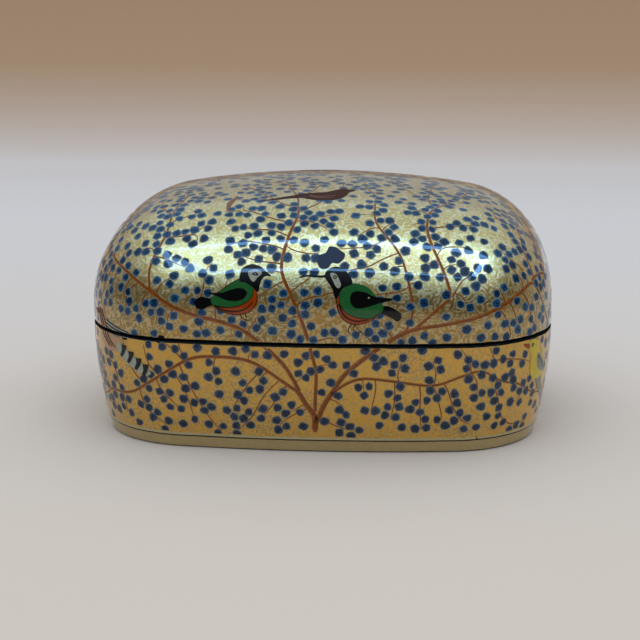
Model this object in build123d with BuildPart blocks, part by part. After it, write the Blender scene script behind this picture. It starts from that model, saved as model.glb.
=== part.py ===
"""Papier mache box with a lift-off domed lid.

Two moulded shells stand on a bottom board: a body wall whose sides curve in towards the board, and a
lid whose upright skirt rolls over a wide shoulder into a double-curved crown. A bent collar strip is
glued inside the body wall and locates the lid, and a narrow edging strip is wrapped round the joint
between the wall and the board, with its ends butted on the front.

Millimetres, +Z up. The origin is the centre of the underside, X runs along the length, and the front
faces -Y.
"""

import math
import os

from build123d import *

# Outline at the seam between the lid and the body
LENGTH = 150.0
DEPTH = 114.0
FRONT_BOW = 8.0  # how far the front and back swell past the crossing of the sides
END_BOW = 2.2  # how far the two ends swell past the crossing of the sides
CORNER_RADIUS = 35.0

# Heights
SEAM_HEIGHT = 35.6  # underside of the board to the rim of the body
LID_HEIGHT = 44.0  # rim of the body to the top of the crown
SEAT_GAP = 0.2  # between the two rims with the lid down
RIM_ROUND = 0.8  # outer edge of both rims

# Body wall
BODY_WALL = 3.4
BODY_TAPER = 5.1  # how far the foot of the box lies inside the seam outline

# Bottom board
BOARD_THICKNESS = 4.2
BOARD_FOOT_ROUND = 1.0
BOARD_TOP_CHAMFER = 0.25

# Edging strip round the joint of the wall and the board
EDGING_HEIGHT = 0.9
EDGING_DEPTH = 0.5  # let into the wall
EDGING_PROUD = 0.25  # stands out of the wall
EDGING_JOINT_X = 51.0  # where its ends meet, on the front
EDGING_JOINT_GAP = 0.5

# Collar strip
COLLAR_CLEARANCE = 0.4  # between the collar and the inside of the lid
COLLAR_THICKNESS = 1.8
COLLAR_STAND = 6.0  # above the seam
COLLAR_GLUE_HEIGHT = 10.6  # below the seam
COLLAR_EDGE_ROUND = 0.5
COLLAR_JOINT_GAP = 0.4  # between its ends, at the middle of the back

# Lid shell
LID_WALL = 3.0
SHOULDER_RADIUS = 33.0
CROWN_CORNER_RADIUS = 2.0  # least corner radius left inside the shoulder
CROWN_RADIUS_LENGTH = 304.0  # curve of the crown from end to end
CROWN_RADIUS_DEPTH = 185.0  # curve of the crown from front to back
LID_SKIRT = 3.0  # least height of upright wall under the shoulder
CROWN_OVERLAP = 5.0  # the crown surface is drawn this far past the outline, then cut by it


def bow_radius(half_side, bow):
    """Radius of a side that swells by the bow over its half length."""
    return (half_side**2 + bow**2) / (2 * bow)


# The front and back are arcs of one radius and the two ends arcs of another.
FRONT_RADIUS = bow_radius(LENGTH / 2 - END_BOW, FRONT_BOW)
END_RADIUS = bow_radius(DEPTH / 2 - FRONT_BOW, END_BOW)


def inset_outline(inset):
    """The seam outline moved in by an even distance: where four large discs overlap, with round corners."""
    front_centre = FRONT_RADIUS - DEPTH / 2
    end_centre = END_RADIUS - LENGTH / 2
    with BuildSketch(mode=Mode.PRIVATE) as outline:
        with Locations((0, front_centre)):
            Circle(FRONT_RADIUS - inset)
        with Locations((0, -front_centre)):
            Circle(FRONT_RADIUS - inset, mode=Mode.INTERSECT)
        with Locations((end_centre, 0)):
            Circle(END_RADIUS - inset, mode=Mode.INTERSECT)
        with Locations((-end_centre, 0)):
            Circle(END_RADIUS - inset, mode=Mode.INTERSECT)
        fillet(outline.vertices(), CORNER_RADIUS - inset)
    return outline.sketch


# The upright section of the body is one circular arc, plumb at the seam.
TAPER_RADIUS = bow_radius(SEAM_HEIGHT, BODY_TAPER)


def wall_inset(height):
    """How far the outer face of the body lies inside the seam outline at a height."""
    drop = SEAM_HEIGHT - height
    return TAPER_RADIUS - math.sqrt(TAPER_RADIUS**2 - drop**2)


# ---------------------------------------------------------------- section plane
# Sections are drawn in the plane across the outline's starting point, with x inwards and y up, then
# swept round the outline.
outline_path = inset_outline(0).wires()[0]
path_start = outline_path.position_at(0)
path_tangent = outline_path.tangent_at(0)
section_plane = Plane(
    origin=(path_start.X, path_start.Y, 0),
    x_dir=Vector(0, 0, 1).cross(path_tangent),
    z_dir=path_tangent,
)

# ---------------------------------------------------------------- bottom board
# Its edge is swept round the outline, and the middle is filled in.
board_top_inset = wall_inset(BOARD_THICKNESS)
board_core_inset = CORNER_RADIUS / 2

with BuildPart() as base_board:
    with BuildSketch(section_plane) as board_section:
        with BuildLine():
            Polyline(
                (board_core_inset, 0),
                (BODY_TAPER, 0),
                (board_top_inset, BOARD_THICKNESS),
                (board_core_inset, BOARD_THICKNESS),
                close=True,
            )
        make_face()
        chamfer(board_section.vertices().sort_by(Axis.X)[0], BOARD_TOP_CHAMFER)
        foot_corners = board_section.vertices().sort_by(Axis.Y)[:2]
        fillet(foot_corners.sort_by(Axis.X)[0], BOARD_FOOT_ROUND)
    sweep(path=outline_path)
    with BuildSketch():
        add(inset_outline(board_core_inset))
    extrude(amount=BOARD_THICKNESS)

# ---------------------------------------------------------------- body wall
edging_top = BOARD_THICKNESS + EDGING_HEIGHT
edging_back_inset = board_top_inset + EDGING_DEPTH
collar_foot = SEAM_HEIGHT - COLLAR_GLUE_HEIGHT
collar_inset = LID_WALL + COLLAR_CLEARANCE


def outer_point(height):
    """A point of the wall section's outer arc."""
    return (wall_inset(height), height)


def inner_point(height):
    """A point of the wall section's inner arc."""
    return (wall_inset(height) + BODY_WALL, height)


with BuildPart() as body_wall:
    with BuildSketch(section_plane) as wall_section:
        with BuildLine():
            ThreePointArc(
                outer_point(SEAM_HEIGHT),
                outer_point((SEAM_HEIGHT + edging_top) / 2),
                outer_point(edging_top),
            )
            Polyline(
                outer_point(edging_top),
                (edging_back_inset, edging_top),
                (edging_back_inset, BOARD_THICKNESS),
                inner_point(BOARD_THICKNESS),
            )
            ThreePointArc(
                inner_point(BOARD_THICKNESS),
                inner_point((BOARD_THICKNESS + collar_foot) / 2),
                inner_point(collar_foot),
            )
            Polyline(
                inner_point(collar_foot),
                (collar_inset, collar_foot),
                (collar_inset, SEAM_HEIGHT),
                outer_point(SEAM_HEIGHT),
            )
        make_face()
        rim_corners = wall_section.vertices().sort_by(Axis.Y)[-2:]
        fillet(rim_corners.sort_by(Axis.X)[0], RIM_ROUND)
    sweep(path=outline_path)

# ---------------------------------------------------------------- edging strip
with BuildPart() as edging_strip:
    with BuildSketch(Plane.XY.offset(BOARD_THICKNESS)):
        add(inset_outline(board_top_inset - EDGING_PROUD))
        add(inset_outline(edging_back_inset), mode=Mode.SUBTRACT)
        with Locations((EDGING_JOINT_X, -DEPTH / 4)):
            Rectangle(EDGING_JOINT_GAP, DEPTH / 2, mode=Mode.SUBTRACT)
    extrude(amount=EDGING_HEIGHT)

# ---------------------------------------------------------------- collar strip
with BuildPart() as collar:
    with BuildSketch(Plane.XY.offset(collar_foot)):
        add(inset_outline(collar_inset))
        add(inset_outline(collar_inset + COLLAR_THICKNESS), mode=Mode.SUBTRACT)
        with Locations((0, DEPTH / 4)):
            Rectangle(COLLAR_JOINT_GAP, DEPTH / 2, mode=Mode.SUBTRACT)
    extrude(amount=COLLAR_GLUE_HEIGHT + COLLAR_STAND)
    fillet(collar.faces().sort_by(Axis.Z)[-1].edges(), COLLAR_EDGE_ROUND)

# ---------------------------------------------------------------- lid shell
crown_top = SEAM_HEIGHT + LID_HEIGHT
crown_fall = sum(
    (side / 2 - CORNER_RADIUS) ** 2 / (2 * radius)
    for side, radius in ((LENGTH, CROWN_RADIUS_LENGTH), (DEPTH, CROWN_RADIUS_DEPTH))
)
shoulder_radius = min(
    SHOULDER_RADIUS,
    CORNER_RADIUS - CROWN_CORNER_RADIUS,
    LID_HEIGHT - crown_fall - LID_SKIRT,
)


def domed_block(inset):
    """The lid's form moved in by an even distance: an upright skirt, a rolled shoulder and a crown.

    The crown is an arc along the length, swung about an axis far below the box so that it curves both ways.
    """
    arc_radius = CROWN_RADIUS_LENGTH - inset
    swing_radius = CROWN_RADIUS_DEPTH - inset
    half_span = LENGTH / 2 + CROWN_OVERLAP
    end_height = swing_radius - arc_radius + math.sqrt(arc_radius**2 - half_span**2)
    # The swing is wide enough for its end planes to pass outside the skirt at the rim.
    swing = math.degrees(math.atan2(DEPTH / 2 + CROWN_OVERLAP, CROWN_RADIUS_DEPTH - LID_HEIGHT))
    swing_axis = Axis((0, 0, crown_top - CROWN_RADIUS_DEPTH), (1, 0, 0))
    first_plane = Plane(swing_axis.position, x_dir=(1, 0, 0), z_dir=(0, -1, 0)).rotated((-swing, 0, 0))
    with BuildPart() as block:
        with BuildSketch(Plane.XY.offset(SEAM_HEIGHT + SEAT_GAP)):
            add(inset_outline(inset))
        extrude(amount=LID_HEIGHT)
        with BuildSketch(first_plane):
            with BuildLine():
                ThreePointArc((-half_span, end_height), (0, swing_radius), (half_span, end_height))
                Polyline((half_span, end_height), (half_span, 0), (-half_span, 0), (-half_span, end_height))
            make_face()
        revolve(axis=swing_axis, revolution_arc=2 * swing, mode=Mode.INTERSECT)
        fillet(block.faces().sort_by(Axis.Z)[-1].edges(), shoulder_radius - inset)
    return block.part


with BuildPart() as lid_shell:
    add(domed_block(0))
    add(domed_block(LID_WALL), mode=Mode.SUBTRACT)
    rim_face = lid_shell.faces().sort_by(Axis.Z)[0]
    fillet(rim_face.outer_wire().edges(), RIM_ROUND)

# ---------------------------------------------------------------- files
base_board.part.label = "base_board"
body_wall.part.label = "body_wall"
edging_strip.part.label = "edging_strip"
collar.part.label = "collar"
lid_shell.part.label = "lid_shell"

os.makedirs("parts", exist_ok=True)
for piece in (base_board, body_wall, edging_strip, collar, lid_shell):
    export_step(piece.part, f"parts/{piece.part.label}.step")
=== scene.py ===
"""Dresses a Kashmiri papier mache box: gilded ground, flowering trees, birds and clear lacquer.

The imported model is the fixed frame, in metres with +Z up, and the front of the box faces -Y.  Paint is
modelled as thin relief pressed onto the outside of the two shells, one piece on each, so that the lid
lifts away with its own half of the painting.
"""

import itertools
import logging
import math
import random
from dataclasses import dataclass, field
from enum import Enum
from typing import Iterable, Mapping, Sequence

import bmesh
import bpy
from bmesh.types import BMEdge, BMesh, BMFace, BMVert
from mathutils import Matrix, Vector
from mathutils.bvhtree import BVHTree
from mathutils.interpolate import poly_3d_calc
from mathutils.kdtree import KDTree


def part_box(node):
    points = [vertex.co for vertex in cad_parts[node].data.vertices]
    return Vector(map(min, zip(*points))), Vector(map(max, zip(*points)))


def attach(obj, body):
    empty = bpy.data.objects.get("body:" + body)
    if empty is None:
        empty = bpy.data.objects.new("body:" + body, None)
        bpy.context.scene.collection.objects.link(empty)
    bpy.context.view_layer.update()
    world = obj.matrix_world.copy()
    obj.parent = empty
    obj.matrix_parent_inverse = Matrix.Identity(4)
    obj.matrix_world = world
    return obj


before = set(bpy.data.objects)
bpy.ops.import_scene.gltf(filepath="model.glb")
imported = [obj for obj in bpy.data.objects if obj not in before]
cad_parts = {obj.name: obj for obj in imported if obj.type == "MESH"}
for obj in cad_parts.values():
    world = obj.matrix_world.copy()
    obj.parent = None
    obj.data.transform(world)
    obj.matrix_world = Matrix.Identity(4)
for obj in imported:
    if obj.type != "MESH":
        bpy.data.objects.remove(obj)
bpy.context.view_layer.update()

LOG = logging.getLogger("papier_mache_box")
MM = 0.001
Socket = bpy.types.NodeSocket
Material = bpy.types.Material
Colour = tuple[float, float, float, float]
Feed = Socket | float | tuple
Point = tuple[float, float]
Span = tuple[float, float]
Zone = tuple[Vector, float]  # a round place and its reach


def tone(red: int, green: int, blue: int) -> Colour:
    """Turns an 8-bit screen colour into a linear one.

    Args:
        red: Red from 0 to 255.
        green: Green from 0 to 255.
        blue: Blue from 0 to 255.

    Returns:
        The linear colour, with full alpha.
    """
    shares = (value / 255 for value in (red, green, blue))
    linear = [s / 12.92 if s <= 0.04045 else ((s + 0.055) / 1.055) ** 2.4 for s in shares]
    return (*linear, 1.0)


# --- Node wiring ---


class SocketKind(Enum):
    """Kinds of socket that an effect takes or gives."""

    NUMBER = "NodeSocketFloat"
    VECTOR = "NodeSocketVector"
    COLOUR = "NodeSocketColor"


class Bench:
    """A node tree being wired, with short calls for the nodes that the finishes share."""

    def __init__(self, tree: bpy.types.NodeTree) -> None:
        """Starts on an empty tree."""
        self.tree = tree
        tree.nodes.clear()

    def feed(self, socket: Socket, value: Feed) -> None:
        """Links a socket to another one, or sets its own value.

        Args:
            socket: The input.
            value: What it takes.
        """
        if isinstance(value, Socket):
            self.tree.links.new(value, socket)
        else:
            socket.default_value = value

    def place(self, kind: str, feeds: dict | None = None, **settings: object) -> bpy.types.Node:
        """Adds a node.

        Args:
            kind: The node's type name.
            feeds: What each input takes, by name or by number.
            **settings: Attributes of the node itself.

        Returns:
            The new node.
        """
        node = self.tree.nodes.new(kind)
        for name, value in settings.items():
            setattr(node, name, value)
        for name, value in (feeds or {}).items():
            self.feed(node.inputs[name], value)
        return node

    def show(self, shader: str, feeds: dict, output: str = "ShaderNodeOutputMaterial") -> None:
        """Adds a shader and wires it to the output of the tree."""
        surface = self.place(shader, feeds).outputs[0]
        self.feed(self.place(output).inputs["Surface"], surface)

    def calc(self, operation: str, *values: Feed) -> Socket:
        """Gives the result of a Math node."""
        return self.place("ShaderNodeMath", dict(enumerate(values)), operation=operation).outputs[0]

    def times(self, first: Feed, second: Feed) -> Socket:
        """Gives the product of two numbers."""
        return self.calc("MULTIPLY", first, second)

    def gap(self, first: Feed, second: Feed) -> Socket:
        """Gives how far apart two numbers are."""
        return self.calc("ABSOLUTE", self.calc("SUBTRACT", first, second))

    def vector(self, operation: str, *values: Feed) -> Socket:
        """Gives the result of a Vector Math node, a number for a dot product or a length."""
        node = self.place("ShaderNodeVectorMath", dict(enumerate(values)), operation=operation)
        return node.outputs["Value" if operation in ("DOT_PRODUCT", "LENGTH") else "Vector"]

    def scaled(self, vector: Feed, gain: Feed) -> Socket:
        """Gives a vector or colour times a number."""
        return self.place("ShaderNodeVectorMath", {0: vector, 3: gain}, operation="SCALE").outputs[0]

    def joined(self, *numbers: Feed) -> Socket:
        """Gives the vector made of three numbers."""
        return self.place("ShaderNodeCombineXYZ", dict(enumerate(numbers))).outputs[0]

    def parts(self, where: Feed) -> tuple[Socket, ...]:
        """Gives the three numbers of a vector."""
        return tuple(self.place("ShaderNodeSeparateXYZ", {0: where}).outputs)

    def ease(self, value: Feed, low: float, high: float) -> Socket:
        """Gives a smooth mask that rises from 0 at low to 1 at high; low may be the larger."""
        feeds = {"Value": value, "From Min": low, "From Max": high}
        return self.place("ShaderNodeMapRange", feeds, interpolation_type="SMOOTHSTEP").outputs[0]

    def blend(self, share: Feed, first: Feed, second: Feed) -> Socket:
        """Gives a mix of two colours: the first at share 0 and the second at share 1."""
        return self.place("ShaderNodeMix", {0: share, 6: first, 7: second}, data_type="RGBA").outputs[2]

    def lerp(self, share: Feed, first: Feed, second: Feed) -> Socket:
        """Gives a number between two others."""
        return self.place("ShaderNodeMix", {0: share, 2: first, 3: second}).outputs[0]

    def noise(self, where: Feed, size: float, detail: float = 2.0, swirl: float = 0.0) -> Socket:
        """Gives noise from 0 to 1 whose lumps are about size metres wide."""
        feeds = {"Vector": where, "Scale": 1 / size, "Detail": detail, "Distortion": swirl}
        return self.place("ShaderNodeTexNoise", feeds).outputs["Fac"]

    def wander(self, where: Feed, size: float, swing: float, **extra: float) -> Socket:
        """Gives noise that swings to both sides of nothing, by swing from end to end."""
        return self.times(self.calc("SUBTRACT", self.noise(where, size, **extra), 0.5), swing)

    def coordinate(self, kind: str = "Object") -> Socket:
        """Gives a texture coordinate, by default the place in metres in the row frame."""
        return self.place("ShaderNodeTexCoord").outputs[kind]

    def tag(self, name: str) -> tuple[Socket, ...]:
        """Gives the three numbers of a vector attribute of the mesh."""
        return self.parts(self.place("ShaderNodeAttribute", attribute_name=name).outputs["Vector"])


class Effect:
    """A node group with named inputs and outputs, built once and placed in several finishes."""

    def __init__(self, name: str, takes: dict[str, SocketKind], gives: dict[str, SocketKind]) -> None:
        """Makes an empty group.

        Args:
            name: Name of the group.
            takes: Kind of each input.
            gives: Kind of each output.
        """
        self.tree = bpy.data.node_groups.new(name, "ShaderNodeTree")
        for side, kinds in (("INPUT", takes), ("OUTPUT", gives)):
            for label, kind in kinds.items():
                self.tree.interface.new_socket(name=label, in_out=side, socket_type=kind.value)
        self.bench = Bench(self.tree)
        self.takes = self.bench.place("NodeGroupInput").outputs
        self.gives = self.bench.place("NodeGroupOutput").inputs

    def put(self, bench: Bench, **feeds: Feed) -> Mapping[str, Socket]:
        """Places the group in another tree and gives its outputs by name."""
        return bench.place("ShaderNodeGroup", feeds, node_tree=self.tree).outputs


class Effects:
    """The effects that several finishes share, with the sizes and colours that they are made of."""

    streak_size = 1.1 * MM
    streak_swing = 2.6
    dip_size = 9 * MM
    peel_size = 1.3 * MM
    peel_share = 0.10
    cloud_size = 17 * MM
    cloud_tone = tone(212, 158, 62)
    speck_size = 2.4 * MM
    speck_tone = tone(70, 52, 24)

    def __init__(self) -> None:
        """Builds every group."""
        number, colour = SocketKind.NUMBER, SocketKind.COLOUR
        where = {"Where": SocketKind.VECTOR}
        worm = where | {"Fineness": number, "Turns": number, "Width": number}
        painted = where | {"Colour": colour}
        self.vermicelli = Effect("Vermicelli", worm, {"Line": number, "Edge": number})
        self.streaks = Effect("BrushStreaks", painted | {"Strength": number}, {"Colour": colour})
        self.ripple = Effect("RubbedLacquer", where, {"Height": number})
        self.patina = Effect("AgedVarnish", painted | {"Clouds": number}, {"Colour": colour})
        self._wire_vermicelli()
        self._wire_streaks()
        self._wire_ripple()
        self._wire_patina()

    def _wire_vermicelli(self) -> None:
        """Wires worm-like brush lines and their dark edges, as bands along the contours of a noise."""
        b, takes, gives = self.vermicelli.bench, self.vermicelli.takes, self.vermicelli.gives
        feeds = {"Vector": takes["Where"], "Scale": takes["Fineness"], "Detail": 0.6, "Distortion": 0.5}
        level = b.place("ShaderNodeTexNoise", feeds).outputs["Fac"]
        wave = b.calc("FRACT", b.times(level, takes["Turns"]))
        past = b.calc("SUBTRACT", b.times(b.gap(wave, 0.5), 2.0), takes["Width"])
        soft = 0.10
        edge, edge_inner, edge_outer = 0.12, 0.04, 0.16
        b.feed(gives["Line"], b.ease(past, soft, -soft))
        b.feed(gives["Edge"], b.ease(b.gap(past, edge), edge_outer, edge_inner))

    def _wire_streaks(self) -> None:
        """Wires uneven brushed colour: thin and thick paint in fine lumps."""
        b, takes = self.streaks.bench, self.streaks.takes
        spread = b.wander(takes["Where"], self.streak_size, self.streak_swing, detail=4.0, swirl=0.8)
        gain = b.calc("ADD", b.times(spread, takes["Strength"]), 1.0)
        b.feed(self.streaks.gives["Colour"], b.scaled(takes["Colour"], gain))

    def _wire_ripple(self) -> None:
        """Wires the height of the hand-rubbed surface: shallow dips and a finer orange peel."""
        b, where = self.ripple.bench, self.ripple.takes["Where"]
        peel = b.times(b.noise(where, self.peel_size), self.peel_share)
        b.feed(self.ripple.gives["Height"], b.calc("ADD", b.noise(where, self.dip_size, detail=1.0), peel))

    def _wire_patina(self) -> None:
        """Wires the colour seen through aged varnish, with broad warm clouds and a few dark specks."""
        b, takes = self.patina.bench, self.patina.takes
        cloud = b.ease(b.noise(takes["Where"], self.cloud_size), 0.35, 0.7)
        warm = b.blend(b.times(cloud, takes["Clouds"]), takes["Colour"], self.cloud_tone)
        speck = b.ease(b.noise(takes["Where"], self.speck_size, detail=1.0), 0.76, 0.82)
        b.feed(self.patina.gives["Colour"], b.blend(b.times(speck, 0.5), warm, self.speck_tone))


# --- Finishes ---


@dataclass(frozen=True)
class Lacquer:
    """The clear varnish that covers the whole painted surface."""

    effects: Effects
    roughness: float = 0.032
    index: float = 1.4
    ripple: float = 0.5
    ripple_depth: float = 0.05 * MM
    strokes: float = 0.6
    stroke_depth: float = 0.03 * MM

    def coat(
        self,
        bench: Bench,
        colour: Feed,
        roughness: Feed = 0.45,
        metallic: Feed = 0.0,
        relief: Feed | None = None,
        cover: Feed = 1.0,
    ) -> None:
        """Wires a lacquered surface to the material's output.

        Args:
            bench: The material's tree.
            colour: Colour of the paint.
            roughness: Roughness of the paint under the varnish.
            metallic: How much of the paint is metal powder.
            relief: Height of the paint's own strokes, from 0 to 1, under the varnish.
            cover: How much of the surface the varnish covers.
        """
        dips = self.effects.ripple.put(bench, Where=bench.coordinate())["Height"]
        feeds = {"Strength": self.ripple, "Distance": self.ripple_depth, "Height": dips}
        smooth = bench.place("ShaderNodeBump", feeds).outputs[0]
        under = smooth
        if relief is not None:
            feeds = {"Strength": self.strokes, "Distance": self.stroke_depth, "Height": relief}
            under = bench.place("ShaderNodeBump", feeds | {"Normal": smooth}).outputs[0]
        feeds = {
            "Base Color": colour,
            "Roughness": roughness,
            "Metallic": metallic,
            "IOR": self.index,
            "Specular IOR Level": 0.0,
            "Coat Weight": cover,
            "Coat Roughness": self.roughness,
            "Coat IOR": self.index,
            "Normal": under,
            "Coat Normal": smooth,
        }
        bench.show("ShaderNodeBsdfPrincipled", feeds)

    def streaked(self, bench: Bench, colour: Feed, strength: float) -> Socket:
        """Gives a colour with its light and dark brush streaks."""
        feeds = {"Where": bench.coordinate(), "Colour": colour, "Strength": strength}
        return self.effects.streaks.put(bench, **feeds)["Colour"]


def new_material(name: str) -> tuple[Material, Bench]:
    """Makes a node material.

    Args:
        name: Name of the material.

    Returns:
        The material and the bench on its empty tree.
    """
    material = bpy.data.materials.new(name)
    material.use_nodes = True
    return material, Bench(material.node_tree)


@dataclass(frozen=True)
class ShellGround:
    """The painted ground outside a shell, its black rim, the black lacquer inside it and painted shade that
    darkens the ground next to the rim.
    """

    name: str
    seam: float  # height of the plane between the two shells
    rim_side: int  # +1 where the black rim lies above its edge and -1 where it lies below
    gold: Colour
    line: Colour
    edge: Colour
    line_strength: float
    fleck: Colour
    fleck_strength: float
    metal: float
    painted_shade: float = 1.0  # painted shade: how bright the ground still is next to the rim
    painted_shade_reach: Span = (12 * MM, 27 * MM)  # from the seam, where the painted shade is darkest and where it ends
    inside: Colour = tone(22, 21, 20)
    rim: Colour = tone(17, 22, 24)
    rim_width: float = 0.75 * MM
    rim_soft: float = 0.06 * MM
    rim_cover: float = 0.1  # how much of the rim the varnish covers
    worm_size: float = 2.5 * MM
    worm_turns: float = 4.8
    worm_width: float = 0.38
    ring_size: float = 4.6 * MM
    ring_turns: float = 5.5
    ring_width: float = 0.3
    ring_strength: float = 0.22
    edge_share: float = 0.45  # strength of the worms' dark edges, as a share of line_strength
    clouds: float = 0.45
    patch_size: float = 26 * MM
    patch_share: float = 0.35  # of the flecks left in the sparse patches
    fleck_size: float = 0.62 * MM
    roughness: float = 0.30
    line_roughness: float = 0.36
    line_metal: float = 0.9  # of the metal left in the lines
    wander_size: float = 5 * MM
    wander_swing: float = 0.5 * MM
    smear_size: float = 7 * MM
    smear_reach: float = 0.8 * MM

    @staticmethod
    def _lines(b: Bench, effects: Effects, size: float, turns: float, width: float) -> Mapping[str, Socket]:
        """Places worm-like lines along the contours of a noise of the given size."""
        feeds = {"Where": b.coordinate(), "Fineness": 1 / size, "Turns": turns, "Width": width}
        return effects.vermicelli.put(b, **feeds)

    def _ground(self, b: Bench, effects: Effects, line: Feed, worm_edge: Feed) -> Socket:
        """Gives the colour of the gilded ground, with painted shade next to the rim.

        Args:
            b: The material's tree.
            effects: The shared groups.
            line: Mask of the fine lines.
            worm_edge: Mask of their dark edges.

        Returns:
            The colour.
        """
        where = b.coordinate()
        # painted shade: clear rises from the rim's painted shade to 1 past its reach, and the gold and the
        # lines darken towards the rim
        off_seam = b.gap(b.parts(where)[2], self.seam)
        clear = b.ease(off_seam, *self.painted_shade_reach)
        gold = b.scaled(self.gold[:3], b.lerp(clear, self.painted_shade, 1.0))
        thread = b.scaled(self.line[:3], b.lerp(clear, (1 + self.painted_shade) / 2, 1.0))
        aged = effects.patina.put(b, Where=where, Colour=gold, Clouds=self.clouds)["Colour"]
        patch = b.ease(b.noise(where, self.patch_size), 0.38, 0.62)
        fleck = b.ease(b.noise(where, self.fleck_size), 0.48, 0.58)
        fleck = b.times(fleck, b.lerp(patch, self.fleck_strength, self.fleck_strength * self.patch_share))
        ground = b.blend(fleck, aged, self.fleck)
        ground = b.blend(b.times(worm_edge, self.line_strength * self.edge_share), ground, self.edge)
        rings = self._lines(b, effects, self.ring_size, self.ring_turns, self.ring_width)
        ground = b.blend(b.times(rings["Line"], self.ring_strength), ground, thread)
        return b.blend(line, ground, thread)

    def _rim(self, b: Bench) -> Socket:
        """Gives the mask of the hand-painted black rim, with its uneven edge and smears.

        Args:
            b: The material's tree.

        Returns:
            The mask.
        """
        where = b.coordinate()
        wander = b.wander(where, self.wander_size, self.wander_swing, detail=3.0)
        edge = self.seam - self.rim_side * self.rim_width
        past = b.calc("SUBTRACT", b.calc("ADD", b.parts(where)[2], wander), edge)
        smear = b.ease(b.noise(where, self.smear_size, detail=3.0), 0.63, 0.70)
        past = b.calc("ADD", b.times(past, self.rim_side), b.times(smear, self.smear_reach))
        return b.ease(past, -self.rim_soft, self.rim_soft)

    def _outside(self, b: Bench) -> Socket:
        """Gives the mask of what faces away from the middle of the box.

        Args:
            b: The material's tree.

        Returns:
            The mask.
        """
        where = b.coordinate()
        hub = b.joined(0.0, 0.0, b.calc("MINIMUM", b.parts(where)[2], self.seam))
        outward = b.vector("NORMALIZE", b.vector("SUBTRACT", where, hub))
        return b.ease(b.vector("DOT_PRODUCT", b.coordinate("Normal"), outward), 0.02, 0.10)

    def make(self, lacquer: Lacquer) -> Material:
        """Builds the material.

        Args:
            lacquer: The varnish over it.

        Returns:
            The material.
        """
        material, b = new_material(self.name)
        effects = lacquer.effects
        worms = self._lines(b, effects, self.worm_size, self.worm_turns, self.worm_width)
        line = b.times(worms["Line"], self.line_strength)
        rim, outside = self._rim(b), self._outside(b)
        painted = b.blend(rim, self._ground(b, effects, line, worms["Edge"]), self.rim)
        bare = b.times(outside, b.calc("SUBTRACT", 1.0, rim))
        lacquer.coat(
            b,
            b.blend(outside, self.inside, painted),
            roughness=b.lerp(line, self.roughness, self.line_roughness),
            metallic=b.times(bare, b.lerp(line, self.metal, self.metal * self.line_metal)),
            relief=b.times(line, bare),
            cover=b.lerp(b.times(rim, outside), 1.0, self.rim_cover),
        )
        return material


@dataclass(frozen=True)
class PlainCoat:
    """One colour of paint under the lacquer, with lines of a second colour round it at given heights."""

    name: str
    colour: Colour
    streaks: float = 0.25
    line: Colour = tone(40, 36, 24)
    line_heights: tuple[float, ...] = ()
    line_width: float = 0.3 * MM
    line_soft: float = 0.06 * MM
    wander_size: float = 6 * MM
    wander_swing: float = 0.25 * MM
    top: Colour | None = None  # colour of what faces up
    cover: float = 1.0  # how much of it the varnish covers

    def make(self, lacquer: Lacquer) -> Material:
        """Builds the material.

        Args:
            lacquer: The varnish over it.

        Returns:
            The material.
        """
        material, b = new_material(self.name)
        where = b.coordinate()
        colour = lacquer.streaked(b, self.colour, self.streaks)
        wander = b.wander(where, self.wander_size, self.wander_swing, detail=3.0)
        level = b.calc("ADD", b.parts(where)[2], wander)
        half = self.line_width / 2
        for height in self.line_heights:
            mask = b.ease(b.gap(level, height), half + self.line_soft, half - self.line_soft)
            colour = b.blend(mask, colour, self.line)
        if self.top is not None:
            upward = b.parts(b.coordinate("Normal"))[2]
            colour = b.blend(b.ease(upward, 0.85, 0.95), colour, self.top)
        lacquer.coat(b, colour, cover=self.cover)
        return material


@dataclass(frozen=True)
class BlossomPaint:
    """Blue dabs with dark strokes fanned from the middle and a pale bleed round the rim."""

    name: str
    petal: Colour
    petal_light: Colour
    stroke: Colour
    halo: Colour
    halo_start: float = 0.77
    halo_soft: float = 0.07
    ragged_size: float = 0.8 * MM
    ragged_swing: float = 0.22
    roughness: float = 0.5

    def _strokes(self, b: Bench, flat: Feed, reach: Feed, seed: Feed) -> Socket:
        """Gives the mask of the dark strokes.

        Args:
            b: The material's tree.
            flat: The place on the dab, with its middle at nothing and its rim at 1.
            reach: How far that is from the middle.
            seed: The dab's own number.

        Returns:
            The mask.
        """
        spoke = b.scaled(b.vector("NORMALIZE", flat), 2.2)
        lift = b.joined(0.0, 0.0, b.calc("ADD", b.times(seed, 60.0), b.times(reach, 0.7)))
        feeds = {"Vector": b.vector("ADD", spoke, lift), "Scale": 1.6, "Detail": 2.0}
        fan = b.ease(b.place("ShaderNodeTexNoise", feeds).outputs["Fac"], 0.45, 0.53)
        streak = b.times(fan, b.ease(reach, 0.86, 0.45))
        heart = b.ease(reach, 0.30, 0.08)
        return b.calc("MAXIMUM", b.times(streak, 0.92), b.times(heart, 0.85))

    def make(self, lacquer: Lacquer) -> Material:
        """Builds the material, which reads each dab's own place and tone from the mesh.

        Args:
            lacquer: The varnish over it.

        Returns:
            The material.
        """
        material, b = new_material(self.name)
        across, along, seed = b.tag("dab")
        flat = b.joined(across, along, 0.0)
        reach = b.vector("LENGTH", flat)
        colour = lacquer.streaked(b, b.blend(seed, self.petal, self.petal_light), 0.35)
        colour = b.blend(self._strokes(b, flat, reach, seed), colour, self.stroke)
        ragged = b.calc("ADD", reach, b.wander(b.coordinate(), self.ragged_size, self.ragged_swing))
        halo = b.ease(ragged, self.halo_start, self.halo_start + self.halo_soft)
        colour = b.blend(b.times(halo, 0.8), colour, self.halo)
        lacquer.coat(b, colour, roughness=self.roughness)
        return material


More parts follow.
